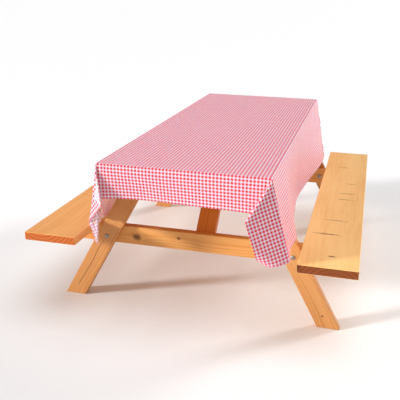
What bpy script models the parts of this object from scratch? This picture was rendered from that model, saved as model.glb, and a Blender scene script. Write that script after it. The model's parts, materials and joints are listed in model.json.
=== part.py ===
"""A fitted picnic table with two fixed benches, and the gingham tablecloth laid over it.

Metres, +Z up. The origin is on the ground under the middle of the table. X runs across the
table from bench to bench, and Y runs along it.
"""

import math

import bmesh
import bpy
from mathutils import Matrix, Vector

# Clearances
TOUCH_GAP = 0.0003
ARRIS = 0.002

# Boards, as planed
PLANK_COUNT = 5
PLANK_WIDTH = 0.1385
PLANK_SPACING = 0.003
PLANK_THICKNESS = 0.036
TOP_LENGTH = 1.830
TOP_HEIGHT = 0.7275
LUMBER_WIDTH = 0.086
LUMBER_THICKNESS = 0.038

# Benches
BENCH_LENGTH = 1.830
BENCH_WIDTH = 0.235
BENCH_THICKNESS = 0.036
BENCH_SETBACK = 0.11275
SEAT_HEIGHT = 0.394

# End frames
FRAME_SETBACK = 0.241
BENCH_LEG_GAP = 0.015
LEG_LEAN = math.radians(28.7)
BEARER_END_INSET = 0.015
BATTEN_END_INSET = 0.042

# Braces
BRACE_X = 0.019
BRACE_ANGLE = math.radians(47.0)
BRACE_TOP_DROP = 0.002

# Bolts, nuts and screws
BOLT_RADIUS = 0.005
BOLT_HEAD_RADIUS = 0.0105
BOLT_HEAD_HEIGHT = 0.0055
BOLT_STICKOUT = 0.005
WASHER_RADIUS = 0.012
WASHER_THICKNESS = 0.002
NUT_ACROSS_FLATS = 0.017
NUT_HEIGHT = 0.008
SCREW_RADIUS = 0.004
SCREW_HEAD_ACROSS_FLATS = 0.013
SCREW_HEAD_HEIGHT = 0.0055
SEAT_SCREW_BITE = 0.022
SEAT_SCREW_EDGE = 0.055
BRACE_SCREW_LENGTH = 0.046
BRACE_SCREW_HEAD_DEPTH = 0.012
ROUND_SIDES = 16

# Tablecloth: how far it hangs below the top at the benches and at the ends
SIDE_DROP = 0.33375
END_DROP = 0.1505
HEM_LEG_GAP = 0.008
CLOTH_THICKNESS = 0.002
FACET_BITE = 0.35

# How the cloth's corners hang, from the corner of the table top: (outwards in X, endwards in Y, down),
# in side drops. The proud pleat stands away from the end of the table: its crease, its curled corner,
# then its ridge. It leaves the end drop PROUD_ROOT side drops in from the corner.
PROUD_PLEAT = ((-0.240, 0.333, 0.470), (-0.123, 0.279, 0.809), (0.114, 0.069, 0.995), (0.234, -0.060, 0.962))
PROUD_ROOT = 0.072
# The flat pleat lies against the end of the table: its crease, its outer fold, then the cloth's own corner.
FLAT_PLEAT = ((-0.150, 0.015, 0.560), (0.117, 0.015, 0.824), (0.093, -0.087, 1.106))
# The side drop's hem between the legs: where along, in distances from the middle to the end frames' faces,
# and how far out in side drops. The legs hold it out at both ends of this stretch.
FREE_HEM = ((-0.668, 0.126), (-0.163, 0.039), (0.371, 0.120))

TOP_WIDTH = PLANK_COUNT * PLANK_WIDTH + (PLANK_COUNT - 1) * PLANK_SPACING
TOP_UNDERSIDE = TOP_HEIGHT - PLANK_THICKNESS
BENCH_UNDERSIDE = SEAT_HEIGHT - BENCH_THICKNESS
BENCH_INNER_X = TOP_WIDTH / 2 + BENCH_SETBACK
FRAME_FACE_Y = TOP_LENGTH / 2 - FRAME_SETBACK
BENCH_X = BENCH_INNER_X + BENCH_WIDTH / 2
BEARER_Y = FRAME_FACE_Y - 1.5 * LUMBER_THICKNESS - TOUCH_GAP
BEARER_Z = BENCH_UNDERSIDE - TOUCH_GAP - LUMBER_WIDTH / 2
BEARER_LENGTH = 2 * (BENCH_INNER_X + BENCH_WIDTH - BEARER_END_INSET)
BATTEN_Z = TOP_UNDERSIDE - TOUCH_GAP - LUMBER_WIDTH / 2
BATTEN_LENGTH = TOP_WIDTH - 2 * BATTEN_END_INSET
LEG_LEVEL_WIDTH = LUMBER_WIDTH / math.cos(LEG_LEAN)
FOOT_INNER_X = BENCH_INNER_X - BENCH_LEG_GAP + BENCH_UNDERSIDE * math.tan(LEG_LEAN) - LEG_LEVEL_WIDTH
BOLT_SHANK = 2 * LUMBER_THICKNESS + 4 * TOUCH_GAP + WASHER_THICKNESS + NUT_HEIGHT + BOLT_STICKOUT


def clear_scene():
    for obj in list(bpy.data.objects):
        bpy.data.objects.remove(obj, do_unlink=True)


def make_material(name, colour, roughness, metallic=0.0):
    material = bpy.data.materials.new(name)
    material.use_nodes = True
    shader = material.node_tree.nodes["Principled BSDF"]
    shader.inputs["Base Color"].default_value = (*colour, 1.0)
    shader.inputs["Roughness"].default_value = roughness
    shader.inputs["Metallic"].default_value = metallic
    material.diffuse_color = (*colour, 1.0)
    return material


def finish_mesh(bm, name, material):
    bmesh.ops.recalc_face_normals(bm, faces=bm.faces)
    mesh = bpy.data.meshes.new(name)
    bm.to_mesh(mesh)
    bm.free()
    obj = bpy.data.objects.new(name, mesh)
    bpy.context.scene.collection.objects.link(obj)
    if material is not None:
        mesh.materials.append(material)
    return obj


def ease_edges(obj):
    """Takes the sharp arris off a board."""
    bevel = obj.modifiers.new("eased_edges", "BEVEL")
    bevel.width = ARRIS
    bevel.segments = 1
    bevel.limit_method = "ANGLE"
    bevel.angle_limit = math.radians(30)


def make_prism(name, outline, direction, material):
    """A closed prism: an outline of points swept along a vector."""
    bm = bmesh.new()
    face = bm.faces.new([bm.verts.new(point) for point in outline])
    swept = bmesh.ops.extrude_face_region(bm, geom=[face])
    moved = [item for item in swept["geom"] if isinstance(item, bmesh.types.BMVert)]
    bmesh.ops.translate(bm, vec=direction, verts=moved)
    return finish_mesh(bm, name, material)


def make_board(name, size, centre, material):
    """A straight board with square ends, its origin in its middle."""
    bm = bmesh.new()
    bmesh.ops.create_cube(bm, size=1.0)
    bmesh.ops.scale(bm, vec=size, verts=bm.verts)
    obj = finish_mesh(bm, name, material)
    obj.location = centre
    ease_edges(obj)
    return obj


def make_turned(name, profile, material, sides=ROUND_SIDES):
    """A solid turned about +Z from (radius, height) pairs; the first and last lie on the axis."""
    bm = bmesh.new()
    points = [bm.verts.new((radius, 0.0, height)) for radius, height in profile]
    edges = [bm.edges.new(pair) for pair in zip(points, points[1:])]
    bmesh.ops.spin(
        bm, geom=points + edges, cent=(0, 0, 0), axis=(0, 0, 1), angle=math.tau, steps=sides, use_merge=True
    )
    bmesh.ops.remove_doubles(bm, verts=bm.verts, dist=1e-6)
    obj = finish_mesh(bm, name, material)
    obj.data.shade_smooth()
    obj.data.set_sharp_from_angle(angle=math.radians(35))
    return obj


def aim(obj, place, direction):
    """Puts the object's origin at a place, with its own +Z along a direction."""
    turn = Vector((0, 0, 1)).rotation_difference(Vector(direction))
    obj.matrix_world = Matrix.Translation(place) @ turn.to_matrix().to_4x4()


def make_cylinder_cutter(name, radius, start, end, sides=ROUND_SIDES):
    """A guide object that drills a round hole from one point to another."""
    way = Vector(end) - Vector(start)
    bm = bmesh.new()
    bmesh.ops.create_cone(
        bm, cap_ends=True, segments=sides, radius1=radius, radius2=radius, depth=way.length,
        matrix=Matrix.Translation((0, 0, way.length / 2)),
    )
    cutter = finish_mesh(bm, name, None)
    aim(cutter, start, way)
    cutter.hide_render = True
    cutter.display_type = "WIRE"
    return cutter


def drill(boards, name, radius, start, end):
    """Cuts one straight hole through each of the boards it passes through."""
    cutter = make_cylinder_cutter(name, radius, start, end)
    for board in boards:
        cut = board.modifiers.new(name, "BOOLEAN")
        cut.operation = "DIFFERENCE"
        cut.solver = "EXACT"
        cut.object = cutter


def make_top_planks(wood):
    planks = []
    for index in range(PLANK_COUNT):
        x = (index - (PLANK_COUNT - 1) / 2) * (PLANK_WIDTH + PLANK_SPACING)
        centre = (x, 0, TOP_HEIGHT - PLANK_THICKNESS / 2)
        size = (PLANK_WIDTH, TOP_LENGTH, PLANK_THICKNESS)
        planks.append(make_board(f"top_plank_{index + 1}", size, centre, wood))
    return planks


def make_benches(wood):
    size = (BENCH_WIDTH, BENCH_LENGTH, BENCH_THICKNESS)
    z = SEAT_HEIGHT - BENCH_THICKNESS / 2
    return {side: make_board(f"bench_plank_{side}", size, (sign * BENCH_X, 0, z), wood)
            for side, sign in (("left", -1), ("right", 1))}


def make_leg(name, x_sign, y_sign, wood):
    """A leaning leg, cut level at the ground and under the top."""
    top = TOP_UNDERSIDE - TOUCH_GAP
    shift = top * math.tan(LEG_LEAN)
    outer = y_sign * FRAME_FACE_Y
    outline = [
        (x_sign * FOOT_INNER_X, outer, 0.0),
        (x_sign * (FOOT_INNER_X + LEG_LEVEL_WIDTH), outer, 0.0),
        (x_sign * (FOOT_INNER_X + LEG_LEVEL_WIDTH - shift), outer, top),
        (x_sign * (FOOT_INNER_X - shift), outer, top),
    ]
    leg = make_prism(name, outline, (0, -y_sign * LUMBER_THICKNESS, 0), wood)
    ease_edges(leg)
    return leg


def leg_centre_x(height):
    return FOOT_INNER_X + LEG_LEVEL_WIDTH / 2 - height * math.tan(LEG_LEAN)


def make_brace(name, y_sign, wood):
    """A sloping board from the bearer's inner face up to the underside of the middle plank."""
    start_y = BEARER_Y - LUMBER_THICKNESS / 2 - TOUCH_GAP
    upper_z = BENCH_UNDERSIDE - TOUCH_GAP - BRACE_TOP_DROP
    lower_z = upper_z - LUMBER_THICKNESS / math.cos(BRACE_ANGLE)
    top = TOP_UNDERSIDE - TOUCH_GAP
    slope = math.tan(BRACE_ANGLE)
    x = BRACE_X - LUMBER_WIDTH / 2
    outline = [
        (x, y_sign * start_y, lower_z),
        (x, y_sign * start_y, upper_z),
        (x, y_sign * (start_y - (top - upper_z) / slope), top),
        (x, y_sign * (start_y - (top - lower_z) / slope), top),
    ]
    brace = make_prism(name, outline, (LUMBER_WIDTH, 0, 0), wood)
    ease_edges(brace)
    return brace


def make_frame(end, y_sign, wood):
    """One end frame: two legs, the bearer under the benches and the batten under the top."""
    y = y_sign * BEARER_Y
    return {
        "legs": {
            side: make_leg(f"leg_{end}_{side}", sign, y_sign, wood)
            for side, sign in (("left", -1), ("right", 1))
        },
        "bearer": make_board(
            f"seat_bearer_{end}", (BEARER_LENGTH, LUMBER_THICKNESS, LUMBER_WIDTH), (0, y, BEARER_Z), wood
        ),
        "batten": make_board(
            f"top_batten_{end}", (BATTEN_LENGTH, LUMBER_THICKNESS, LUMBER_WIDTH), (0, y, BATTEN_Z), wood
        ),
        "brace": make_brace(f"brace_{end}", y_sign, wood),
    }


def make_middle_batten(wood):
    z = TOP_UNDERSIDE - TOUCH_GAP - LUMBER_THICKNESS / 2
    return make_board("top_batten_middle", (BATTEN_LENGTH, LUMBER_WIDTH, LUMBER_THICKNESS), (0, 0, z), wood)


def make_bolt(name, place, direction, steel):
    """A domed bolt whose shank runs from the place, along the direction."""
    dome = []
    for step in range(4):
        turn = step * math.pi / 8
        dome.append((BOLT_HEAD_RADIUS * math.cos(turn), -TOUCH_GAP - BOLT_HEAD_HEIGHT * math.sin(turn)))
    profile = [
        (0.0, -TOUCH_GAP - BOLT_HEAD_HEIGHT), *reversed(dome), (BOLT_RADIUS, -TOUCH_GAP),
        (BOLT_RADIUS, BOLT_SHANK - ARRIS / 2), (BOLT_RADIUS - ARRIS / 2, BOLT_SHANK), (0.0, BOLT_SHANK),
    ]
    bolt = make_turned(name, profile, steel)
    aim(bolt, place, direction)


def make_ring(name, outer_radius, sides, thickness, place, direction, steel):
    """A washer or a nut: a flat piece with a bore that clears the bolt."""
    bm = bmesh.new()
    inner_radius = BOLT_RADIUS + TOUCH_GAP
    for radius, count in ((outer_radius, sides), (inner_radius, ROUND_SIDES)):
        bmesh.ops.create_circle(bm, cap_ends=False, radius=radius, segments=count)
    bmesh.ops.triangle_fill(bm, use_beauty=True, edges=bm.edges)
    swept = bmesh.ops.extrude_face_region(bm, geom=list(bm.faces))
    moved = [item for item in swept["geom"] if isinstance(item, bmesh.types.BMVert)]
    bmesh.ops.translate(bm, vec=(0, 0, thickness), verts=moved)
    ring = finish_mesh(bm, name, steel)
    aim(ring, place, direction)


def bolt_up(tag, leg, rail, x_sign, y_sign, height, steel):
    """Drills a leg and the rail behind it, and puts in the bolt, washer and nut."""
    x = x_sign * leg_centre_x(height)
    inward = Vector((0, -y_sign, 0))
    face = Vector((x, y_sign * FRAME_FACE_Y, height))
    reach = 2 * LUMBER_THICKNESS + TOUCH_GAP
    bore_start = face - inward * reach
    bore_end = face + 2 * inward * reach
    drill([leg, rail], f"hole_{tag}", BOLT_RADIUS + TOUCH_GAP, bore_start, bore_end)
    make_bolt(f"bolt_{tag}", face, inward, steel)
    washer_at = face + inward * (reach + TOUCH_GAP)
    make_ring(f"washer_{tag}", WASHER_RADIUS, ROUND_SIDES, WASHER_THICKNESS, washer_at, inward, steel)
    nut_at = washer_at + inward * (WASHER_THICKNESS + TOUCH_GAP)
    make_ring(f"nut_{tag}", NUT_ACROSS_FLATS / math.sqrt(3), 6, NUT_HEIGHT, nut_at, inward, steel)


def make_hex_screw(name, place, direction, length, steel):
    """A screw whose hexagonal head bears at the place, and whose shank runs along the direction."""
    bm = bmesh.new()
    head_radius = SCREW_HEAD_ACROSS_FLATS / math.sqrt(3)
    head = bmesh.ops.create_circle(bm, cap_ends=True, radius=head_radius, segments=6)
    bmesh.ops.translate(bm, vec=(0, 0, -TOUCH_GAP - SCREW_HEAD_HEIGHT), verts=head["verts"])
    swept = bmesh.ops.extrude_face_region(bm, geom=list(bm.faces))
    moved = [item for item in swept["geom"] if isinstance(item, bmesh.types.BMVert)]
    bmesh.ops.translate(bm, vec=(0, 0, SCREW_HEAD_HEIGHT), verts=moved)
    screw = finish_mesh(bm, name, steel)
    shank = make_cylinder_cutter(
        f"{name}_shank", SCREW_RADIUS, (0, 0, -TOUCH_GAP - SCREW_HEAD_HEIGHT / 2), (0, 0, length), sides=12
    )
    shank.parent = screw
    union = screw.modifiers.new("shank", "BOOLEAN")
    union.operation = "UNION"
    union.solver = "EXACT"
    union.object = shank
    aim(screw, place, direction)


def screw_on_seat(tag, bearer, bench, x, y, steel):
    """A screw from under the bearer up into the bench."""
    start = Vector((x, y, BEARER_Z - LUMBER_WIDTH / 2))
    up = Vector((0, 0, 1))
    length = LUMBER_WIDTH + TOUCH_GAP + SEAT_SCREW_BITE
    hole_end = start + up * (length + TOUCH_GAP)
    drill([bearer, bench], f"hole_{tag}", SCREW_RADIUS + TOUCH_GAP, start - up * ARRIS, hole_end)
    make_hex_screw(f"seat_screw_{tag}", start, up, length, steel)


def screw_brace(end, frame, plank, y_sign, steel):
    """A level screw into the bearer and an upright one into the plank, their heads let into the brace."""
    start_y = BEARER_Y - LUMBER_THICKNESS / 2 - TOUCH_GAP
    upper_z = BENCH_UNDERSIDE - TOUCH_GAP - BRACE_TOP_DROP
    rise = LUMBER_THICKNESS / math.cos(BRACE_ANGLE)
    foot_z = upper_z - rise / 2
    foot_y = start_y - BRACE_SCREW_HEAD_DEPTH
    top = TOP_UNDERSIDE - TOUCH_GAP
    head_y = start_y - (top - upper_z + rise / 2) / math.tan(BRACE_ANGLE)
    head_z = top - BRACE_SCREW_HEAD_DEPTH
    seats = (
        ("foot", (BRACE_X, y_sign * foot_y, foot_z), (0, y_sign, 0), frame["bearer"]),
        ("head", (BRACE_X, y_sign * head_y, head_z), (0, 0, 1), plank),
    )
    pocket_radius = SCREW_HEAD_ACROSS_FLATS / math.sqrt(3) + ARRIS
    bite = BRACE_SCREW_LENGTH - BRACE_SCREW_HEAD_DEPTH
    for where, place, direction, into in seats:
        place = Vector(place)
        direction = Vector(direction)
        length = BRACE_SCREW_LENGTH
        if where == "head":
            length = BRACE_SCREW_HEAD_DEPTH + min(bite, PLANK_THICKNESS / 2)
        pocket_start = place - direction * LUMBER_THICKNESS * 2
        drill([frame["brace"]], f"pocket_{end}_{where}", pocket_radius, pocket_start, place)
        drill(
            [frame["brace"], into], f"hole_brace_{end}_{where}", SCREW_RADIUS + TOUCH_GAP,
            place - direction * ARRIS, place + direction * (length + TOUCH_GAP),
        )
        make_hex_screw(f"brace_screw_{end}_{where}", place, direction, length, steel)


def slab_between(name, corners):
    """A thin convex plate on flat corner points, reaching a little past them to bite into its neighbours."""
    points = [Vector(corner) for corner in corners]
    normal = (points[1] - points[0]).cross(points[2] - points[0]).normalized()
    half = normal * CLOTH_THICKNESS / 2
    middle = sum(points, Vector()) / len(points)
    points = [point + (point - middle).normalized() * CLOTH_THICKNESS * FACET_BITE for point in points]
    bm = bmesh.new()
    for point in points:
        bm.verts.new(point + half)
        bm.verts.new(point - half)
    hull = bmesh.ops.convex_hull(bm, input=bm.verts)
    bmesh.ops.delete(bm, geom=list({*hull["geom_interior"], *hull["geom_unused"]}), context="VERTS")
    return finish_mesh(bm, name, None)


def hung_from(corner, offset):
    """The point of a pleat that lies (outwards, endwards, down) from a corner of the cloth's top."""
    outwards, endwards, down = (share * SIDE_DROP for share in offset)
    return corner + Vector((outwards, math.copysign(1.0, corner.y) * endwards, -down))


def cloth_middle():
    """Half width, half length and height of the middle of the cloth's thickness, over the table top."""
    stand_off = TOUCH_GAP + CLOTH_THICKNESS / 2
    return TOP_WIDTH / 2 + stand_off, TOP_LENGTH / 2 + stand_off, TOP_HEIGHT + stand_off


def side_hem():
    """Points along the right side's hem: how far along the table, and how far out.

    It hangs outside the legs.
    """
    leg_outer_x = leg_centre_x(TOP_HEIGHT - SIDE_DROP) + LEG_LEVEL_WIDTH / 2
    at_legs = leg_outer_x + HEM_LEG_GAP - TOP_WIDTH / 2
    outer = FRAME_FACE_Y + HEM_LEG_GAP
    inner = FRAME_FACE_Y - LUMBER_THICKNESS - HEM_LEG_GAP
    free = [(place * FRAME_FACE_Y, out_share * SIDE_DROP) for place, out_share in FREE_HEM]
    return [(-outer, at_legs), (-inner, at_legs), *free, (inner, at_legs), (outer, at_legs)]


def half_cloth_facets():
    """Flat facets of the cloth's right side and near end. A half turn about +Z gives the rest."""
    x, y, top = cloth_middle()
    near, far = Vector((x, -y, top)), Vector((x, y, top))

    crease, curl_end, curl_side, ridge = (hung_from(near, offset) for offset in PROUD_PLEAT)
    root = Vector((x - PROUD_ROOT * SIDE_DROP, -y, top - END_DROP))
    flat_crease, flat_fold, flat_tip = (hung_from(far, offset) for offset in FLAT_PLEAT)
    facets = [
        [(-x, -y, top), (-x, -y, top - END_DROP), (x, -y, top - END_DROP), (x, -y, top)],
        [near, root, crease],
        [near, crease, curl_end, curl_side, ridge],
        [far, flat_crease, flat_fold],
        [far, flat_fold, flat_tip],
    ]
    edge, hem = near, ridge
    for place, out in side_hem():
        next_edge = Vector((x, place, top))
        next_hem = next_edge + Vector((out, 0, -math.sqrt(SIDE_DROP**2 - out**2)))
        facets.append([edge, hem, next_hem])
        facets.append([edge, next_hem, next_edge])
        edge, hem = next_edge, next_hem
    facets.append([edge, hem, flat_tip])
    facets.append([edge, flat_tip, far])
    return facets


def make_tablecloth(fabric):
    """One closed sheet: the flat top, four drops and four folded corners."""
    x, y, top = cloth_middle()
    cloth = slab_between("tablecloth", [(-x, -y, top), (x, -y, top), (x, y, top), (-x, y, top)])
    cloth.data.materials.append(fabric)
    half_turn = Matrix.Rotation(math.pi, 4, "Z")
    for index, corners in enumerate(half_cloth_facets()):
        for half, turn in (("a", Matrix.Identity(4)), ("b", half_turn)):
            facet = slab_between(f"cloth_facet_{index}{half}", [turn @ Vector(corner) for corner in corners])
            facet.hide_render = True
            facet.display_type = "WIRE"
            join = cloth.modifiers.new(f"facet_{index}{half}", "BOOLEAN")
            join.operation = "UNION"
            join.solver = "MANIFOLD"
            join.object = facet
    return cloth


def main():
    clear_scene()
    wood = make_material("oiled_pine", (0.62, 0.33, 0.12), 0.5)
    steel = make_material("zinc_plate", (0.55, 0.55, 0.56), 0.35, 1.0)
    fabric = make_material("gingham", (0.86, 0.35, 0.42), 0.45)
    planks = make_top_planks(wood)
    benches = make_benches(wood)
    make_middle_batten(wood)
    for end, y_sign in (("near", -1), ("far", 1)):
        frame = make_frame(end, y_sign, wood)
        for side, x_sign in (("left", -1), ("right", 1)):
            leg = frame["legs"][side]
            bolt_up(f"seat_{end}_{side}", leg, frame["bearer"], x_sign, y_sign, BEARER_Z, steel)
            bolt_up(f"top_{end}_{side}", leg, frame["batten"], x_sign, y_sign, BATTEN_Z, steel)
            inner = BENCH_INNER_X + SEAT_SCREW_EDGE
            outer = BENCH_INNER_X + BENCH_WIDTH - SEAT_SCREW_EDGE
            for row, x in (("inner", inner), ("outer", outer)):
                tag = f"{end}_{side}_{row}"
                screw_on_seat(tag, frame["bearer"], benches[side], x_sign * x, y_sign * BEARER_Y, steel)
        screw_brace(end, frame, planks[PLANK_COUNT // 2], y_sign, steel)
    make_tablecloth(fabric)


main()
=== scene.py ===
"""The looks of a gingham tablecloth on its picnic table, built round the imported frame.

Metres, +Z up, in the frame's own coordinates: X runs across the table, Y along it, and the camera stands
off the -Y end. The cloth and the table look the same after half a turn about Z.
"""

import json
import math

import bpy
import numpy as np
from mathutils import Matrix, Vector

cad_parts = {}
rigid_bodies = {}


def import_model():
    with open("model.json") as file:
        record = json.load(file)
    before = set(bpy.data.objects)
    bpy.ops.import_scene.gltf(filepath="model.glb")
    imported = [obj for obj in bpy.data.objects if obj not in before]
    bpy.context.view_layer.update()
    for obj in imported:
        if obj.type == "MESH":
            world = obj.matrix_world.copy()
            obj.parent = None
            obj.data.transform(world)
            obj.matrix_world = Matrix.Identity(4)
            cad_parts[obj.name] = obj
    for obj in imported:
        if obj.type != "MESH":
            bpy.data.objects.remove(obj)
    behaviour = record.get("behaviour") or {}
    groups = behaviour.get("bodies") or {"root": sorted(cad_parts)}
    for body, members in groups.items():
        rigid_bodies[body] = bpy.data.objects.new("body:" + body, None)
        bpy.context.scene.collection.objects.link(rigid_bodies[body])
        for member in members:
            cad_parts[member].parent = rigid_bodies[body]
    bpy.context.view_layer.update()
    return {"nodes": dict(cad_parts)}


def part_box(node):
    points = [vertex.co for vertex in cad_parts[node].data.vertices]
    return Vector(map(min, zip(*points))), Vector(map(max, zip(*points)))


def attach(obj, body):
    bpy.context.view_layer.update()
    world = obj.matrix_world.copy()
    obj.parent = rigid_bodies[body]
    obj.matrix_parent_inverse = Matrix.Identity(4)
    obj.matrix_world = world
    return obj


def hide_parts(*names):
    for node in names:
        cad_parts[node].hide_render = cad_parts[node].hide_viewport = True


for leftover in list(bpy.data.objects):
    bpy.data.objects.remove(leftover, do_unlink=True)
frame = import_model()

PLANKS = [f"top_plank_{number}" for number in range(1, 6)]

# The cloth, as it was cut, and how far the middle of its thickness lies off the wood
FLAT_WIDTH = 1.372
FLAT_LENGTH = 2.134
CHECKS_ACROSS_TOP = 49
CLOTH_THICKNESS = 0.0006
HEM_THICKNESS = 0.0016
HEM_WIDTH = 0.010
LIE = 0.0013

top_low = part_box(PLANKS[0])[0]
top_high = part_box(PLANKS[-1])[1]
HALF_WIDTH = top_high.x + LIE
HALF_LENGTH = top_high.y + LIE
CLOTH_TOP = top_high.z + LIE
SIDE_DROP = FLAT_WIDTH / 2 - HALF_WIDTH
END_DROP = FLAT_LENGTH / 2 - HALF_LENGTH
# An end drop hangs against the planks' ends down to here
PAST_PLANK = 0.004
PLANK_DEPTH = top_high.z - top_low.z + PAST_PLANK
# One red and one white stripe
CHECK = 2 * HALF_WIDTH / CHECKS_ACROSS_TOP


# ---------------------------------------------------------------- the drape

# How the cloth fans round a corner of the top. A key is an angle on the flat cloth, and the direction that
# its line takes as it hangs: (outwards past the side, outwards past the end, down). The angle is in degrees,
# from the line down the end (0) to the one down the side (90), and on past it. The right side of the table
# has a proud pleat at its near corner and a flat one at its far corner. The next two lines span the proud
# pleat's flat face, and would be at 0 and at 90 on the flat cloth.
FACE_ACROSS = np.array((-0.798, 0.541, 0.265))
FACE_DOWN = np.array((0.323, 0.013, 0.946))


def on_face(angle):
    """A line on the proud pleat's flat face."""
    turn = math.radians(angle)
    return tuple(math.cos(turn) * FACE_ACROSS + math.sin(turn) * FACE_DOWN)


def down_side(angle, flare):
    """A line on a side drop that leans out by flare, past the one straight down from the corner."""
    past = math.radians(angle - 90)
    lean = math.radians(flare)
    return (math.sin(lean) * math.cos(past), -math.sin(past), math.cos(lean) * math.cos(past))


PROUD_KEYS = (
    (0, (0, 0, 1)),
    (37, on_face(37)),
    (86, on_face(86)),
    (112, down_side(112, 12)),
)
FLAT_KEYS = (
    (0, (0, 0.004, 1)),
    (6, (0.105, 0.010, 0.990)),
    (29, (-0.215, 0.232, 0.948)),
    (54, (0.175, -0.040, 0.984)),
    (66, (0.050, -0.078, 0.996)),
    (90, (0.170, -0.360, 0.917)),
    (125, down_side(125, 15)),
)
# Both in degrees: how finely a fan is worked out, and how far to each side a crease is rounded
FAN_STEP = 0.25
CREASE_SOFTNESS = 2.0

# The cloth's own corner on the proud pleat rolls back from a line across the face: a point on the line (past
# the end, past the side), the way across it in the same two directions, and how tightly and how far it rolls
# (in radians).
CURL_START = np.array((0.130, 0.250))
CURL_WAY = np.array((0.758, 0.652))
CURL_RADIUS = 0.034
CURL_TURN = 2.3

# The right side's hem: where along the table, and how far out it stands
SIDE_HEM = (
    (-0.93, 0.070), (-0.78, 0.070), (-0.655, 0.083), (-0.45, 0.042), (-0.11, 0.012),
    (0.25, 0.040), (0.45, 0.070), (0.655, 0.086), (0.78, 0.086), (0.93, 0.086),
)
# The near end's hem: where across the table, and how far it swings in under the top
END_HEM = (
    (-0.350, 0.0), (-0.315, 0.026), (-0.270, 0.032), (-0.150, 0.028),
    (0.0, 0.024), (0.200, 0.020), (0.290, 0.016), (0.350, 0.0),
)
# A shallow drag fold on the end drop, beside the flat pleat: how far from the middle it starts at the top,
# how much it slants back towards the middle on its way down, its depth at the hem and its width
RIPPLE_START = 0.215
RIPPLE_SLANT = 0.45
RIPPLE_DEPTH = 0.016
RIPPLE_WIDTH = 0.035

# The mesh's cells: on the drops and near the ends, along the middle of the table, and across the top. The
# lines come closer together at the edges of the top.
CELL = 0.009
MIDDLE_CELL = 0.015
TOP_CELL = 0.022
FINE_REACH = 0.36
TOP_CELLS_STOP = 0.02
EDGE_CELL = 0.010
EDGE_LINE = 0.004

# What may move, past the edge of the top, and what counts as a pleat: past the side, from this far inside the
# end, and up to this angle of the fan
OFF_TOP = 0.001
PLEAT_MARGIN = 0.02
PLEAT_END = 100


def fan_curve(keys):
    """Angles and unit directions along great circles between the keys, with the creases a little rounded."""
    angles = np.arange(keys[0][0], keys[-1][0] + FAN_STEP, FAN_STEP)
    directions = []
    for angle in angles:
        index = max(i for i, key in enumerate(keys[:-1]) if key[0] <= angle)
        (start, first), (end, last) = keys[index], keys[index + 1]
        first, last = Vector(first).normalized(), Vector(last).normalized()
        directions.append(first.slerp(last, (angle - start) / (end - start)))
    directions = np.array(directions)
    reach = int(CREASE_SOFTNESS / FAN_STEP)
    before, after = directions[:1].repeat(reach, 0), directions[-1:].repeat(reach, 0)
    padded = np.concatenate([before, directions, after])
    directions = sum(padded[shift:shift + len(angles)] for shift in range(2 * reach + 1))
    return angles, directions / np.linalg.norm(directions, axis=1, keepdims=True)


def cut_lines():
    """Where the mesh's lines run on half of the flat cloth: across from the middle out, and along."""
    def run(start, end, cell):
        return np.linspace(start, end, max(2, round(abs(end - start) / cell)) + 1)[:-1]

    def past_edge(edge, cut):
        """The lines from just inside an edge of the top to where the cloth is cut."""
        return [
            [edge - EDGE_CELL, edge - EDGE_LINE, edge, edge + EDGE_LINE],
            run(edge + EDGE_CELL, cut - HEM_WIDTH, CELL),
            [cut - HEM_WIDTH, cut - HEM_WIDTH / 2, cut],
        ]

    across = np.concatenate([
        run(0, HALF_WIDTH - TOP_CELLS_STOP, TOP_CELL),
        [HALF_WIDTH - TOP_CELLS_STOP],
        *past_edge(HALF_WIDTH, FLAT_WIDTH / 2),
    ])
    along = np.concatenate([
        run(0, HALF_LENGTH - FINE_REACH, MIDDLE_CELL),
        run(HALF_LENGTH - FINE_REACH, HALF_LENGTH - EDGE_CELL, CELL),
        *past_edge(HALF_LENGTH, FLAT_LENGTH / 2),
    ])
    return across, np.concatenate([-along[:0:-1], along])


def end_ripple(across, down):
    """How far the drag fold sets an end drop back."""
    centre = RIPPLE_START - RIPPLE_SLANT * down
    depth = RIPPLE_DEPTH * np.clip(down / END_DROP, 0, 1)
    return -depth * np.exp(-((across - centre) / RIPPLE_WIDTH) ** 2)


def curl_back(out, past_end):
    """What the rolled corner of the proud pleat adds to where the flat face would be."""
    beyond_line = (past_end - CURL_START[0]) * CURL_WAY[0] + (out - CURL_START[1]) * CURL_WAY[1]
    curled = (out > 0) & (past_end > 0)
    rolled_by = np.where(curled, np.maximum(beyond_line, 0), 0)[..., None]
    turn = np.minimum(rolled_by / CURL_RADIUS, CURL_TURN)
    straight = rolled_by - turn * CURL_RADIUS
    way = CURL_WAY[0] * FACE_ACROSS + CURL_WAY[1] * FACE_DOWN
    back = np.cross(FACE_DOWN, FACE_ACROSS)
    along_way = CURL_RADIUS * np.sin(turn) + straight * np.cos(turn) - rolled_by
    along_back = CURL_RADIUS * (1 - np.cos(turn)) + straight * np.sin(turn)
    return along_way * way + along_back * back


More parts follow.
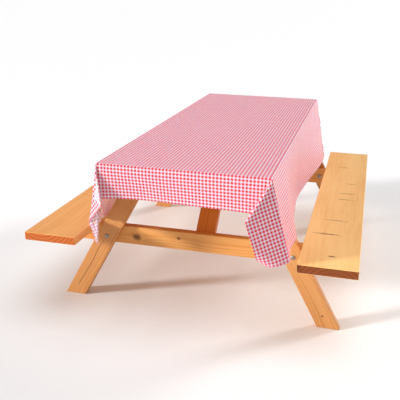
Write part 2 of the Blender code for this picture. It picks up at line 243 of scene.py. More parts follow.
def hung_shape(across, along):
    """The right half of the cloth as first laid out.

    Gives where each point of the flat cloth goes, which points are free to move, and which are in a pleat.
    """
    u, v = np.meshgrid(across, along, indexing="ij")
    out = u - HALF_WIDTH
    past_end = np.abs(v) - HALF_LENGTH
    offset = np.stack([out, past_end, np.zeros_like(u)], -1)

    end_drop = (out <= 0) & (past_end > 0)
    below_plank = np.maximum(past_end - PLANK_DEPTH, 0)
    swing = np.arcsin(np.interp(-np.sign(v) * u, *zip(*END_HEM)) / (END_DROP - PLANK_DEPTH))
    offset[end_drop, 1] = -(below_plank * np.sin(swing))[end_drop]
    offset[end_drop, 2] = (past_end - below_plank + below_plank * np.cos(swing))[end_drop]
    far_end = end_drop & (v > 0)
    offset[far_end, 1] += end_ripple(u[far_end], past_end[far_end])

    side_drop = out > 0
    lean = np.arcsin(np.interp(v, *zip(*SIDE_HEM)) / SIDE_DROP)
    offset[side_drop, 0] = (out * np.sin(lean))[side_drop]
    offset[side_drop, 2] = (out * np.cos(lean))[side_drop]

    angle = np.degrees(np.arctan2(out, past_end))
    reach = np.hypot(out, past_end)
    for end, keys in ((-1, PROUD_KEYS), (1, FLAT_KEYS)):
        fan = side_drop & (np.sign(v) == end) & (angle < keys[-1][0])
        angles, directions = fan_curve(keys)
        for axis in range(3):
            offset[fan, axis] = reach[fan] * np.interp(angle[fan], angles, directions[:, axis])
    offset += np.where((v < 0)[..., None], curl_back(out, past_end), 0)

    place = np.stack([
        HALF_WIDTH + offset[..., 0],
        np.sign(v) * (HALF_LENGTH + offset[..., 1]),
        CLOTH_TOP - offset[..., 2],
    ], -1)
    loose = (out > OFF_TOP) | (past_end > OFF_TOP)
    loose[0, :] = False
    pleat = (out > 0) & (past_end > -PLEAT_MARGIN) & (angle < PLEAT_END)
    return place, loose, pleat


def pull_lengths(place, weight, rest, first, second, stiffness):
    """Moves each pair of points towards its length on the flat cloth."""
    a, b = place[first], place[second]
    gap = b - a
    length = np.linalg.norm(gap, axis=-1, keepdims=True)
    shared = weight[first] + weight[second]
    move = stiffness * (length - rest) / np.maximum(length, 1e-9) * gap / np.maximum(shared, 1)
    place[first] = a + weight[first] * move
    place[second] = b - weight[second] * move


def pair_sets(shape):
    """Slices that pair every point with its neighbours: (first, second, kind).

    No point is in a set twice, so each set moves at once.
    """
    sets = []
    for axis in (0, 1):
        for start in (0, 1):
            first, second = [slice(None)] * 2, [slice(None)] * 2
            count = (shape[axis] - start) // 2
            first[axis] = slice(start, start + 2 * count, 2)
            second[axis] = slice(start + 1, start + 2 * count, 2)
            sets.append((tuple(first), tuple(second), "thread"))
    for start in (0, 1):
        count = (shape[0] - start) // 2
        left, right = slice(start, start + 2 * count, 2), slice(start + 1, start + 2 * count, 2)
        sets.append(((left, slice(0, -1)), (right, slice(1, None)), "bias"))
        sets.append(((left, slice(1, None)), (right, slice(0, -1)), "bias"))
    return sets


def stiffen(place, weight, lengths, share):
    """Takes some of the bend out: each point moves part of the way to the middle of its neighbours."""
    for axis in (0, 1):
        moved = np.swapaxes(place, 0, axis)
        gaps = np.swapaxes(lengths[axis], 0, axis)
        before, after = gaps[:-1], gaps[1:]
        middle = (moved[:-2] * after + moved[2:] * before) / (before + after)
        moved[1:-1] += share * np.swapaxes(weight, 0, axis)[1:-1] * (middle - moved[1:-1])


FOOT_SLICE = 0.004


def leg_level_width():
    """How wide a leg is, measured level: the extent of its foot."""
    vertices = frame["nodes"]["leg_far_right"].data.vertices
    foot = [vertex.co.x for vertex in vertices if vertex.co.z < FOOT_SLICE]
    return max(foot) - min(foot)


LEG_LEVEL_WIDTH = leg_level_width()
# How far the cloth stays from the wood, and how far past a leg's sides it still meets the leg. Only what is
# past SIDE_FROM, the side drop, meets the legs.
EDGE_ROUNDING = 0.002
LEG_CLEARANCE = 0.001
LEG_MARGIN = 0.004
BENCH_CLEARANCE = 0.004
SIDE_FROM = 0.2


def keep_out(place, weight):
    """Holds the cloth off the edge of the top and the outer faces of the legs, and clear of the bench."""
    x, y, z = place[..., 0], place[..., 1], place[..., 2]
    low = top_low.z - CLOTH_THICKNESS
    inside = (z < CLOTH_TOP - EDGE_ROUNDING) & (z > low) & (weight[..., 0] > 0)
    inside &= (x < HALF_WIDTH) & (np.abs(y) < HALF_LENGTH)
    to_side = HALF_WIDTH - x
    to_end = HALF_LENGTH - np.abs(y)
    place[..., 0] = np.where(inside & (to_side <= to_end), HALF_WIDTH, x)
    place[..., 1] = np.where(inside & (to_side > to_end), np.sign(y) * HALF_LENGTH, y)

    leg_low, leg_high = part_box("leg_far_right")
    slope = (leg_high.x - leg_low.x - LEG_LEVEL_WIDTH) / (leg_high.z - leg_low.z)
    leg_face = leg_high.x - slope * (z - leg_low.z) + CLOTH_THICKNESS + LEG_CLEARANCE
    along_leg = (np.abs(y) > leg_low.y - LEG_MARGIN) & (np.abs(y) < leg_high.y + LEG_MARGIN)
    at_leg = along_leg & (z < top_low.z) & (x < leg_face) & (x > SIDE_FROM)
    place[..., 0] = np.where(at_leg, leg_face, place[..., 0])

    bench_low, bench_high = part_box("bench_plank_right")
    bench_face = bench_low.x - BENCH_CLEARANCE
    at_bench = (z < bench_high.z + BENCH_CLEARANCE) & (x > bench_face)
    place[..., 0] = np.where(at_bench, bench_face, place[..., 0])


SETTLE_STEPS = 260
THREAD_PASSES = 2
# The cloth sags by this much a step, for this share of the steps
SAG_STEP = 0.00006
SAG_UNTIL = 0.7
# How strongly a point is drawn to where it was laid, and the share of that which is left near the end
PLEAT_HOLD = 0.06
DROP_HOLD = 0.004
HOLD_UNTIL = 0.85
LATE_HOLD = 0.3
THREAD_STIFFNESS = 1.0
BIAS_STIFFNESS = 0.35
BEND_STIFFNESS = 0.05


def settle(across, along):
    """Lets the laid-out shape find its real lengths and hang.

    Gives where each point of the half cloth lies.
    """
    place, loose, pleat = hung_shape(across, along)
    laid = place.copy()
    weight = loose[..., None].astype(float)
    u, v = np.meshgrid(across, along, indexing="ij")
    flat = np.stack([u, v], -1)
    lengths = [np.linalg.norm(np.diff(flat, axis=axis), axis=-1)[..., None] for axis in (0, 1)]
    sets = pair_sets(u.shape)
    rests = [np.linalg.norm(flat[first] - flat[second], axis=-1)[..., None] for first, second, _ in sets]
    stiffness = {"thread": THREAD_STIFFNESS, "bias": BIAS_STIFFNESS}
    hold = np.where(pleat, PLEAT_HOLD, DROP_HOLD)[..., None] * weight
    for step in range(SETTLE_STEPS):
        if step < SETTLE_STEPS * SAG_UNTIL:
            place[..., 2] -= SAG_STEP * weight[..., 0]
        place += hold * (laid - place) * (1 if step < SETTLE_STEPS * HOLD_UNTIL else LATE_HOLD)
        for _ in range(THREAD_PASSES):
            for (first, second, kind), rest in zip(sets, rests):
                pull_lengths(place, weight, rest, first, second, stiffness[kind])
        stiffen(place, weight, lengths, BEND_STIFFNESS)
        keep_out(place, weight)
    return place


def cloth_mesh():
    """The whole cloth as one mesh: the settled half, and the same turned half a turn."""
    across, along = cut_lines()
    half = settle(across, along)
    turned = half[:0:-1, ::-1] * np.array((-1, -1, 1))
    place = np.concatenate([turned, half])
    lines = np.concatenate([-across[:0:-1], across])
    columns, rows = len(lines), len(along)
    corner = np.arange(columns * rows).reshape(columns, rows)
    faces = np.stack([corner[:-1, :-1], corner[1:, :-1], corner[1:, 1:], corner[:-1, 1:]], -1)
    faces = faces.reshape(-1, 4)
    mesh = bpy.data.meshes.new("cloth")
    mesh.from_pydata(place.reshape(-1, 3).tolist(), [], faces.tolist())
    u, v = np.meshgrid(lines, along, indexing="ij")
    flat = np.stack([u.ravel(), v.ravel()], -1)
    layer = mesh.uv_layers.new(name="cut")
    layer.data.foreach_set("uv", flat[faces.ravel()].astype(np.float32).ravel())
    mesh.shade_smooth()
    to_edge = np.minimum(FLAT_WIDTH / 2 - np.abs(u), FLAT_LENGTH / 2 - np.abs(v)).ravel()
    return mesh, to_edge


# The part of the hem's width that gets its full thickness, so that the fold ends where the plain cloth starts
FULL_HEM = 0.9


def make_cloth():
    """The tablecloth: thin plain cloth, and a thicker folded hem."""
    mesh, to_edge = cloth_mesh()
    cloth = bpy.data.objects.new("gingham_tablecloth", mesh)
    bpy.context.scene.collection.objects.link(cloth)
    thick = cloth.vertex_groups.new(name="thickness")
    plain_share = CLOTH_THICKNESS / HEM_THICKNESS
    for index, gap in enumerate(to_edge):
        thick.add([index], 1.0 if gap < HEM_WIDTH * FULL_HEM else plain_share, "REPLACE")
    smooth = cloth.modifiers.new("smooth", "SUBSURF")
    smooth.levels = 1
    smooth.render_levels = 1
    smooth.uv_smooth = "NONE"
    shell = cloth.modifiers.new("thickness", "SOLIDIFY")
    shell.thickness = HEM_THICKNESS
    shell.vertex_group = "thickness"
    shell.offset = 0
    shell.material_offset = 1
    shell.material_offset_rim = 1
    shell.use_even_offset = False
    mesh.materials.append(make_gingham("gingham", WHITE, fading=0.0, glow=0.25))
    # The reverse: a paler back whose brighter white and more faded print are partly painted light shining
    # through the cloth.
    mesh.materials.append(make_gingham("gingham_reverse", REVERSE_WHITE_PAINTED_BRIGHTER, fading=0.40, glow=0.60))
    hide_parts("tablecloth")
    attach(cloth, "tablecloth")
    return cloth


# ---------------------------------------------------------------- materials

class Nodes:
    """A short way to write a material's node tree. A value is a number, a tuple or another node's output."""

    def __init__(self, name):
        self.material = bpy.data.materials.new(name)
        self.material.use_nodes = True
        self.tree = self.material.node_tree
        self.shader = self.tree.nodes["Principled BSDF"]

    def put(self, socket, value):
        if isinstance(value, bpy.types.NodeSocket):
            self.tree.links.new(value, socket)
        else:
            socket.default_value = value

    def add(self, kind, inputs=(), **settings):
        node = self.tree.nodes.new(kind)
        for key, value in settings.items():
            setattr(node, key, value)
        for key, value in dict(inputs).items():
            self.put(node.inputs[key], value)
        return node

    def math(self, operation, *values):
        return self.add("ShaderNodeMath", enumerate(values), operation=operation).outputs[0]

    def vector(self, operation, *values):
        node = self.add("ShaderNodeVectorMath", enumerate(values), operation=operation)
        return node.outputs["Value" if operation in ("DOT_PRODUCT", "LENGTH") else "Vector"]

    def noise(self, vector, scale, detail=2.0, roughness=0.5):
        inputs = {"Vector": vector, "Scale": scale, "Detail": detail, "Roughness": roughness}
        return self.add("ShaderNodeTexNoise", inputs).outputs["Fac"]

    def stretched(self, vector, factors):
        return self.vector("MULTIPLY", vector, factors)

    def fade(self, value, low, high, to_low=0.0, to_high=1.0):
        inputs = {0: value, 1: low, 2: high, 3: to_low, 4: to_high}
        return self.add("ShaderNodeMapRange", inputs, interpolation_type="SMOOTHSTEP").outputs[0]

    def fade_out(self, value, low, high):
        """1 up to low, 0 from high."""
        return self.fade(value, low, high, 1.0, 0.0)

    def away(self, value, centre):
        """How far a value is from centre, to either side."""
        return self.math("ABSOLUTE", self.math("SUBTRACT", value, centre))

    def hypot(self, first, second):
        squares = (self.math("MULTIPLY", side, side) for side in (first, second))
        return self.math("SQRT", self.math("ADD", *squares))

    def mix(self, share, first, second):
        node = self.add("ShaderNodeMix", data_type="RGBA")
        self.put(node.inputs[0], share)
        for socket, value in ((node.inputs[6], first), (node.inputs[7], second)):
            self.put(socket, (*value, 1.0) if isinstance(value, tuple) else value)
        return node.outputs[2]

    def finish(self, colour, roughness, height, depth, **constants):
        """Links the colour, roughness and bump. A constant goes on the shader's own socket."""
        self.put(self.shader.inputs["Base Color"], colour)
        self.put(self.shader.inputs["Roughness"], roughness)
        bump = self.add("ShaderNodeBump", {"Height": height, "Distance": depth, "Strength": 1.0})
        self.put(self.shader.inputs["Normal"], bump.outputs[0])
        for name, value in constants.items():
            self.shader.inputs[name.replace("_", " ")].default_value = value
        return self.material


def shaded(colour, share):
    return tuple(share * part for part in colour)


RED = (0.800, 0.006, 0.014)
WORN_RED = (0.70, 0.010, 0.018)
WHITE = (0.890, 0.805, 0.935)
# The reverse's white: the cloth's own paler back, made brighter still as painted light that stands in for
# light shining through the cloth.
REVERSE_WHITE_PAINTED_BRIGHTER = (1.00, 0.96, 1.00)
STITCH_WHITE = (0.93, 0.90, 0.92)
PATCH_SHADE = 0.95
# The print, in shares of one check: how wide the red stripe is and how soft its edges are. Where one thread
# is red, HALF_TONE of the print is, and the twill makes that more or less.
RED_SHARE = 0.55
STRIPE_BLUR = 0.015
HALF_TONE = 0.45
TWILL_CONTRAST = 0.15
THREAD = 0.0009
CLOTH_RELIEF = 0.0012
# The hem's stitches: each one's length with its gap, where it dips into the cloth (in shares of that length
# from its middle), how wide it is to each side, and how far the row lies from the hem's inner edge
STITCH_LENGTH = 0.0032
STITCH_DIP = (0.36, 0.42)
STITCH_HALF_WIDTH = 0.0003
STITCH_INSET = 0.0015


def make_gingham(name, ground, fading, glow):
    """Red and white check with a stitched hem.

    It is solid red where both threads are red, and half-tone twill where one is. ground is the white, fading
    is the share of the print that doesn't show, and glow is how much light soaks in.
    """
    n = Nodes(name)
    place = n.add("ShaderNodeUVMap", uv_map="cut").outputs[0]
    apart = n.add("ShaderNodeSeparateXYZ", {0: place})
    u, v = apart.outputs[0], apart.outputs[1]

    def stripe(value, shift):
        moved = n.math("ADD", n.math("DIVIDE", value, CHECK), shift)
        off_middle = n.away(n.math("FRACT", moved), 0.5)
        return n.fade_out(off_middle, RED_SHARE / 2 - STRIPE_BLUR, RED_SHARE / 2 + STRIPE_BLUR)

    along_red, across_red = stripe(u, 0.5), stripe(v, 0.25)
    twill = n.math("SINE", n.math("MULTIPLY", n.math("ADD", u, v), math.tau / THREAD))
    half_tone = n.math("MULTIPLY_ADD", twill, TWILL_CONTRAST, HALF_TONE)
    either = n.math("MAXIMUM", along_red, across_red)
    both = n.math("MULTIPLY", along_red, across_red)
    red = n.math("MAXIMUM", both, n.math("MULTIPLY", either, half_tone))
    patch = n.noise(place, 7.0, 3.0)
    white = n.mix(patch, ground, shaded(ground, PATCH_SHADE))
    red_ink = n.mix(patch, RED, WORN_RED)
    colour = n.mix(n.math("MULTIPLY", red, 1.0 - fading), white, red_ink)

    to_side = n.math("SUBTRACT", FLAT_WIDTH / 2, n.math("ABSOLUTE", u))
    to_end = n.math("SUBTRACT", FLAT_LENGTH / 2, n.math("ABSOLUTE", v))
    off_line = n.away(n.math("MINIMUM", to_side, to_end), HEM_WIDTH - STITCH_INSET)
    along_line = n.math("FRACT", n.math("DIVIDE", n.math("ADD", u, v), STITCH_LENGTH))
    on_line = n.fade_out(off_line, STITCH_HALF_WIDTH, 2 * STITCH_HALF_WIDTH)
    stitch = n.math("MULTIPLY", on_line, n.fade_out(n.away(along_line, 0.5), *STITCH_DIP))
    colour = n.mix(stitch, colour, STITCH_WHITE)

    weft, warp = (n.math("SINE", n.math("MULTIPLY", side, 2 * math.tau / THREAD)) for side in (u, v))
    weave = n.math("MULTIPLY_ADD", n.math("MULTIPLY", weft, warp), 0.25, n.math("MULTIPLY", twill, 0.25))
    creases = n.noise(n.stretched(place, (1.0, 1.6, 1.0)), 9.0, 3.0, 0.45)
    height = n.math("MULTIPLY_ADD", weave, 0.03, creases)
    height = n.math("MULTIPLY_ADD", stitch, 0.15, height)
    gloss = n.fade(n.noise(place, 30.0, 3.0), 0.25, 0.75, 0.36, 0.48)
    return n.finish(colour, gloss, height, CLOTH_RELIEF, Specular_IOR_Level=0.4,
                    Subsurface_Weight=glow, Subsurface_Scale=0.0015)


def board_axes(name):
    """A board's middle, and unit vectors along its length, its width and its thickness."""
    points = np.array([vertex.co for vertex in frame["nodes"][name].data.vertices])
    middle = (points.min(0) + points.max(0)) / 2
    _, _, axes = np.linalg.svd(points - points.mean(0), full_matrices=False)
    axes = [axis * np.sign(axis[np.argmax(np.abs(axis))]) for axis in axes]
    spans = [np.ptp(points @ axis) for axis in axes]
    order = np.argsort(spans)[::-1]
    return middle, [axes[index] for index in order]


LIGHT_PINE = (0.82, 0.42, 0.13)
DEEP_PINE = (0.62, 0.22, 0.035)
END_GRAIN = (0.28, 0.065, 0.010)
KNOT_BROWN = (0.13, 0.035, 0.010)
SPLIT_BROWN = (0.09, 0.026, 0.010)
WOOD_RELIEF = 0.0006
# How far a board's noise is moved by its ring width and by its pith, so that no two boards look alike
RING_SHIFT = 370
PITH_SHIFT = 3


def tinted(colour, tint):
    return tuple(part * share for part, share in zip(colour, tint))


def add_knots(n, board, along, across, knots):
    """How dark the knots are, their cores, and the place across the board with the grain bent round them."""
    dark, core, bent = 0.0, 0.0, across
    ragged = n.math("MULTIPLY_ADD", n.noise(board, 60.0), 1.1, -0.55)
    for knot_along, knot_across, half_along, half_across in knots:
        from_along = n.math("SUBTRACT", along, knot_along)
        from_across = n.math("SUBTRACT", across, knot_across)
        away = n.hypot(n.math("DIVIDE", from_along, half_along), n.math("DIVIDE", from_across, half_across))
        ragged_away = n.math("ADD", away, ragged)
        dark = n.math("MAXIMUM", dark, n.fade_out(ragged_away, 0.65, 1.25))
        core = n.math("MAXIMUM", core, n.fade_out(ragged_away, 0.15, 0.75))
        bent = n.math("SUBTRACT", bent, n.math("MULTIPLY", n.fade(away, 0.6, 3.2, 0.8, 0.0), from_across))
    return dark, core, bent


def add_rings(n, board, bent, through, pith, ring_width):
    """The late wood of each growth ring: it deepens slowly and stops short."""
    wander = n.noise(n.stretched(board, (1.6, 0.3, 0.3)), 1.0, 1.0)
    sideways = n.math("ADD", n.math("ADD", bent, -pith[0]), n.math("MULTIPLY_ADD", wander, 0.10, -0.05))
    radius = n.hypot(sideways, n.math("ADD", through, -pith[1]))
    waver = n.math("MULTIPLY", n.noise(n.stretched(board, (3.0, 14.0, 14.0)), 1.0, 2.0), 0.008)
    phase = n.math("FRACT", n.math("DIVIDE", n.math("ADD", radius, waver), ring_width))
    return n.math("MULTIPLY", n.fade(phase, 0.25, 0.88), n.fade_out(phase, 0.90, 1.0))


def add_splits(n, board, along, across, splits):
    """Thin drying cracks that wander a little and run out at both ends."""
    crack = 0.0
    for start, end, offset in splits:
        wander = n.math("MULTIPLY_ADD", n.noise(board, 9.0), 0.016, -0.008 - offset)
        thin = n.fade_out(n.math("ABSOLUTE", n.math("ADD", across, wander)), 0.0004, 0.0019)
        span = n.math("MULTIPLY", n.fade(along, start, start + 0.04), n.fade_out(along, end - 0.06, end))
        crack = n.math("MAXIMUM", crack, n.math("MULTIPLY", thin, span))
    return crack


def make_pine(name, pith, ring_width, tint, knots=(), splits=(), end_tint=1.0, rings=0.36):
    """Oiled pine whose grain follows one board.

    pith is where the middle of the tree lay from the board's middle, (across its width, through its
    thickness). A knot is (along, across, half length along, half width across), and a split (start, end,
    across), all in the board's own axes, in metres. end_tint is how light the end grain is, and rings is how
    plainly the growth rings show.
    """
    middle, axes = board_axes(name)
    n = Nodes(f"pine_{name}")
    coordinates = n.add("ShaderNodeTexCoord")
    from_middle = n.vector("SUBTRACT", coordinates.outputs["Object"], tuple(middle))
    along, across, through = (n.vector("DOT_PRODUCT", from_middle, tuple(axis)) for axis in axes)
    board = n.add("ShaderNodeCombineXYZ", {0: along, 1: across, 2: through}).outputs[0]
    board = n.vector("ADD", board, (ring_width * RING_SHIFT, pith[0] * PITH_SHIFT, pith[1]))

    knot_dark, knot_core, bent = add_knots(n, board, along, across, knots)
    late = add_rings(n, board, bent, through, pith, ring_width)
    fibre = n.noise(n.stretched(board, (5.0, 170.0, 170.0)), 1.0, 3.0, 0.6)
    cloud = n.noise(n.stretched(board, (2.2, 9.0, 9.0)), 1.0, 3.0)
    deepness = n.math("MULTIPLY_ADD", late, rings, n.math("MULTIPLY_ADD", fibre, 0.55, -0.22))
    deepness = n.math("ADD", deepness, n.math("MULTIPLY_ADD", cloud, 0.9, -0.40))
    light, dark = tinted(LIGHT_PINE, tint), tinted(DEEP_PINE, tint)
    colour = n.mix(n.fade(deepness, -0.1, 1.0), light, dark)
    colour = n.mix(n.math("MULTIPLY", knot_dark, 0.72), colour, shaded(dark, 0.40))
    colour = n.mix(n.math("MULTIPLY", knot_core, 0.85), colour, KNOT_BROWN)
    crack = add_splits(n, board, along, across, splits)
    colour = n.mix(n.math("MULTIPLY", crack, 0.85), colour, SPLIT_BROWN)

    facing = n.math("ABSOLUTE", n.vector("DOT_PRODUCT", coordinates.outputs["Normal"], tuple(axes[0])))
    on_end = n.fade(facing, 0.70, 0.92)
    light_end, dark_end = shaded(END_GRAIN, end_tint), shaded(END_GRAIN, 0.55 * end_tint)
    colour = n.mix(on_end, colour, n.mix(n.math("MULTIPLY", late, 0.7), light_end, dark_end))

    height = n.math("ADD", n.math("MULTIPLY", fibre, 0.5), n.math("MULTIPLY", late, 0.35))
    height = n.math("MULTIPLY_ADD", crack, -2.0, height)
    height = n.math("MULTIPLY_ADD", knot_core, -0.4, height)
    gloss = n.math("ADD", n.fade(fibre, 0.2, 0.8, 0.44, 0.60), n.math("MULTIPLY", on_end, 0.2))
    return n.finish(colour, gloss, height, WOOD_RELIEF, Specular_IOR_Level=0.35)


BRIGHT_ZINC = (0.36, 0.32, 0.28)
DULL_ZINC = (0.16, 0.11, 0.08)
SPANGLE = (0.75, 0.75, 0.76)
ZINC_RELIEF = 0.0002


def make_zinc(name):
    """Zinc plate with a faint spangle and some rubbed, duller patches."""
    n = Nodes(name)
    place = n.add("ShaderNodeTexCoord").outputs["Object"]
    spangle = n.add("ShaderNodeTexVoronoi", {"Vector": place, "Scale": 900.0}).outputs["Distance"]
    dull = n.noise(place, 260.0, 4.0)
    colour = n.mix(n.fade(dull, 0.35, 0.7), BRIGHT_ZINC, DULL_ZINC)
    colour = n.mix(n.math("MULTIPLY", spangle, 0.3), colour, SPANGLE)
    gloss = n.fade(dull, 0.3, 0.7, 0.28, 0.50)
    return n.finish(colour, gloss, n.math("ADD", dull, spangle), ZINC_RELIEF, Metallic=1.0)


# What the pine's colours are multiplied by
ORANGE = (0.84, 0.76, 0.80)
GOLDEN = (1.00, 0.92, 0.85)
HONEY = (1.06, 1.06, 1.16)
# The seat and top planks' tint: their own paler tone, raised further as painted light that brightens the
# sunlit tops.
PALE_WITH_PAINTED_LIGHT = (1.20, 1.42, 1.75)
# The braces' tint is painted shade: it gives them the deeper, redder look of wood in shade under the top.
REDDISH_PAINTED_SHADE = (1.00, 0.68, 0.40)
# Board: what make_pine takes. The knots and splits are placed as they show on the real boards.
BOARDS = {
    # Painted light: part of this bench's pale tint brightens its sunlit top.
    "bench_plank_right": dict(
        pith=(0.03, -0.09), ring_width=0.016, tint=PALE_WITH_PAINTED_LIGHT, rings=0.10,
        knots=(
            (-0.80, 0.010, 0.006, 0.018), (-0.56, -0.03, 0.006, 0.060), (-0.38, 0.00, 0.004, 0.055),
            (-0.06, 0.02, 0.004, 0.045), (0.04, 0.03, 0.004, 0.050), (0.22, 0.04, 0.004, 0.035),
            (0.55, -0.02, 0.004, 0.040),
        ),
    ),
    "bench_plank_left": dict(
        pith=(-0.04, 0.10), ring_width=0.015, tint=HONEY, end_tint=2.4, rings=0.14,
        knots=((-0.47, 0.03, 0.005, 0.030), (0.10, -0.04, 0.010, 0.012), (0.60, 0.02, 0.005, 0.040)),
    ),
    "leg_near_left": dict(
        pith=(0.05, 0.03), ring_width=0.007, tint=ORANGE, splits=((-0.36, -0.04, -0.004),),
    ),
    "leg_near_right": dict(
        pith=(0.005, 0.045), ring_width=0.006, tint=ORANGE, knots=((-0.33, 0.000, 0.005, 0.005),),
    ),
    "leg_far_left": dict(pith=(-0.02, 0.05), ring_width=0.007, tint=ORANGE),
    "leg_far_right": dict(
        pith=(0.06, 0.02), ring_width=0.006, tint=ORANGE, knots=((0.10, 0.01, 0.012, 0.010),),
    ),
    "seat_bearer_near": dict(
        pith=(0.03, 0.05), ring_width=0.008, tint=GOLDEN,
        knots=((-0.295, -0.006, 0.024, 0.017), (-0.094, 0.010, 0.010, 0.007), (0.42, 0.0, 0.01, 0.01)),
    ),
    "seat_bearer_far": dict(
        pith=(-0.03, 0.05), ring_width=0.007, tint=GOLDEN, knots=((0.2, 0.01, 0.012, 0.010),),
    ),
    "top_batten_near": dict(pith=(0.02, 0.06), ring_width=0.006, tint=ORANGE),
    "top_batten_far": dict(pith=(0.02, -0.06), ring_width=0.007, tint=ORANGE),
    "top_batten_middle": dict(pith=(0.05, 0.02), ring_width=0.006, tint=ORANGE),
    # Painted shade: the braces' tint deepens them like wood in shade under the top.
    "brace_near": dict(pith=(0.02, 0.05), ring_width=0.006, tint=REDDISH_PAINTED_SHADE),
    "brace_far": dict(pith=(-0.02, 0.05), ring_width=0.007, tint=REDDISH_PAINTED_SHADE),
}
# The planks are hidden by the cloth at rest, so their rings and knots follow their number
for number, plank in enumerate(PLANKS):
    BOARDS[plank] = dict(
        pith=(0.05 - 0.025 * number, 0.07), ring_width=0.006 + 0.001 * (number % 3), tint=PALE_WITH_PAINTED_LIGHT,
        knots=(
            (-0.7 + 0.31 * number, 0.03 - 0.012 * number, 0.013, 0.010),
            (0.62 - 0.23 * number, -0.02, 0.009, 0.008),
        ),
    )


def dress_frame():
    """Gives every carried-over CAD node its finish: a board its own pine, a fixing zinc."""
    zinc = make_zinc("zinc_plate")
    for name, node in frame["nodes"].items():
        if name == "tablecloth":
            continue
        finish = make_pine(name, **BOARDS[name]) if name in BOARDS else zinc
        node.data.materials.clear()
        node.data.materials.append(finish)


# ---------------------------------------------------------------- plank screws

HEAD_SIDES = 24
HEAD_RADIUS = 0.0045
HEAD_RISE = 0.0005
HEAD_TOP_SHARE = 0.93
CROSS_CORNERS = 12
RECESS_RADIUS = 0.0022
RECESS_ARM = 0.0005
RECESS_FLOOR_SHARE = 0.8
RECESS_FLOOR_HEIGHT = 0.2
SCREW_SPREAD = 0.042


def head_points():
    """One screw head about the origin: its rim, its top's rim, the cross recess and the recess's floor."""
    turns = [math.tau * k / HEAD_SIDES for k in range(HEAD_SIDES)]
    ring = [(HEAD_RADIUS * math.cos(turn), HEAD_RADIUS * math.sin(turn)) for turn in turns]
    cross = []
    for c, s in ((1, 0), (0, 1), (-1, 0), (0, -1)):
        for x, y in ((RECESS_ARM, -RECESS_ARM), (RECESS_RADIUS, -RECESS_ARM), (RECESS_RADIUS, RECESS_ARM)):
            cross.append((c * x - s * y, s * x + c * y))
    levels = (
        (ring, 1.0, 0.0),
        (ring, HEAD_TOP_SHARE, HEAD_RISE),
        (cross, 1.0, HEAD_RISE),
        (cross, RECESS_FLOOR_SHARE, RECESS_FLOOR_HEIGHT * HEAD_RISE),
    )
    return [Vector((share * x, share * y, height)) for outline, share, height in levels for x, y in outline]


def band(first, second, count):
    """The faces between two closed rings of points, which start at first and second."""
    return [(first + k, first + (k + 1) % count, second + (k + 1) % count, second + k) for k in range(count)]


def head_faces(start):
    """The faces of the head whose points start at start."""
    top_rim = start + HEAD_SIDES
    recess = top_rim + HEAD_SIDES
    recess_floor = recess + CROSS_CORNERS
    faces = band(start, top_rim, HEAD_SIDES) + band(recess, recess_floor, CROSS_CORNERS)
    faces.append(tuple(range(recess_floor, recess_floor + CROSS_CORNERS)))
    quarter_sides = HEAD_SIDES // 4
    for quarter in range(4):
        tip = [recess + (3 * quarter + step) % CROSS_CORNERS for step in range(1, 5)]
        arc = [top_rim + (quarter_sides * quarter + step) % HEAD_SIDES for step in range(quarter_sides + 1)]
        faces.append((tip[1], tip[0], arc[0]))
        faces.append((*arc, tip[3], tip[2], tip[1]))
    return faces


def make_plank_screws():
    """Countersunk screw heads with a cross recess, two in each plank over each batten."""
    vertices, faces = [], []
    for plank in PLANKS:
        plank_middle = sum(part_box(plank), Vector()) / 2
        for where in ("near", "middle", "far"):
            batten_middle = sum(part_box(f"top_batten_{where}"), Vector()) / 2
            for side in (-1, 1):
                centre = Vector((plank_middle.x + side * SCREW_SPREAD, batten_middle.y, top_high.z))
                faces += head_faces(len(vertices))
                vertices += [centre + point for point in head_points()]
    mesh = bpy.data.meshes.new("plank_screw_heads")
    mesh.from_pydata(vertices, [], faces)
    mesh.materials.append(make_zinc("zinc_heads"))
    heads = bpy.data.objects.new("plank_screw_heads", mesh)
    bpy.context.scene.collection.objects.link(heads)
    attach(heads, "table")


# ---------------------------------------------------------------- studio

FLOOR_LIGHT = (0.90, 0.90, 0.90)
FLOOR_DARK = (0.88, 0.88, 0.88)
FLOOR_RELIEF = 0.0002
FLOOR_REACH = 500.0
# Just under the feet, so that no face of theirs lies in the floor
FLOOR_DROP = 0.0005


def make_floor():
    """A plain pale floor that reaches to the horizon."""
    n = Nodes("pale_floor")
    place = n.add("ShaderNodeTexCoord").outputs["Object"]
    speckle = n.noise(place, 40.0, 3.0)
    colour = n.mix(speckle, FLOOR_LIGHT, FLOOR_DARK)
    gloss = n.fade(speckle, 0.3, 0.7, 0.85, 0.95)
    finish = n.finish(colour, gloss, speckle, FLOOR_RELIEF, Specular_IOR_Level=0.1)
    mesh = bpy.data.meshes.new("floor")
    corners = [(FLOOR_REACH * x, FLOOR_REACH * y, 0) for x, y in ((-1, -1), (1, -1), (1, 1), (-1, 1))]
    mesh.from_pydata(corners, [], [(0, 1, 2, 3)])
    mesh.materials.append(finish)
    floor = bpy.data.objects.new("floor", mesh)
    floor.location.z = -FLOOR_DROP
    bpy.context.scene.collection.objects.link(floor)


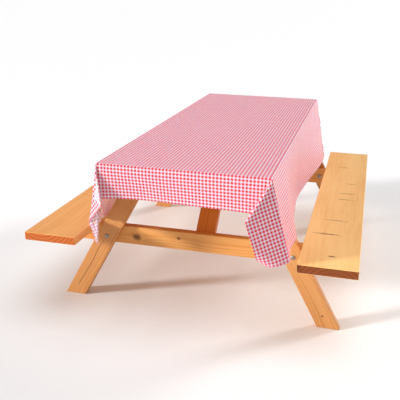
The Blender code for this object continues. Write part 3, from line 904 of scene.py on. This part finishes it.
def make_sun(name, towards, strength, softness):
    """A soft light from far off. towards points from the object to the light, and softness is in degrees."""
    light = bpy.data.lights.new(name, "SUN")
    light.energy = strength
    light.angle = math.radians(softness)
    sun = bpy.data.objects.new(name, light)
    sun.rotation_mode = "QUATERNION"
    sun.rotation_quaternion = Vector(towards).to_track_quat("Z", "Y")
    bpy.context.scene.collection.objects.link(sun)


WORLD_COLOUR = (1.0, 0.965, 0.98, 1.0)
WORLD_STRENGTH = 0.27


def light_studio():
    """A low key light from the left, a rim light from behind, a wide light above and a pale world."""
    make_sun("key", towards=(-0.84, -0.50, 0.27), strength=3.45, softness=9)
    make_sun("rim", towards=(0.64, 0.70, 0.30), strength=1.95, softness=14)
    make_sun("overhead", towards=(0.20, -0.06, 1.0), strength=1.26, softness=50)
    world = bpy.data.worlds.new("studio")
    world.use_nodes = True
    background = world.node_tree.nodes["Background"]
    background.inputs["Color"].default_value = WORLD_COLOUR
    background.inputs["Strength"].default_value = WORLD_STRENGTH
    bpy.context.scene.world = world
    bpy.context.scene.view_settings.view_transform = "Standard"


# Angles in radians, the lens and the sensor in millimetres
CAMERA_PLACE = (0.6710, -3.1473, 1.3987)
CAMERA_YAW = 0.2599
CAMERA_PITCH = 0.3267
CAMERA_ROLL = 0.0137
CAMERA_LENS = 56.62
CAMERA_SENSOR = 36.0


def make_camera():
    """The camera looks along +Y, turned left by its yaw and down by its pitch, then rolled."""
    turn = Matrix.Rotation(CAMERA_YAW, 3, "Z") @ Matrix.Rotation(math.pi / 2 - CAMERA_PITCH, 3, "X")
    turn = turn @ Matrix.Rotation(CAMERA_ROLL, 3, "Z")
    data = bpy.data.cameras.new("camera")
    data.lens = CAMERA_LENS
    data.sensor_width = CAMERA_SENSOR
    camera = bpy.data.objects.new("camera", data)
    camera.matrix_world = Matrix.Translation(CAMERA_PLACE) @ turn.to_4x4()
    bpy.context.scene.collection.objects.link(camera)
    bpy.context.scene.camera = camera


make_camera()
light_studio()
make_floor()
dress_frame()
make_plank_screws()
make_cloth()
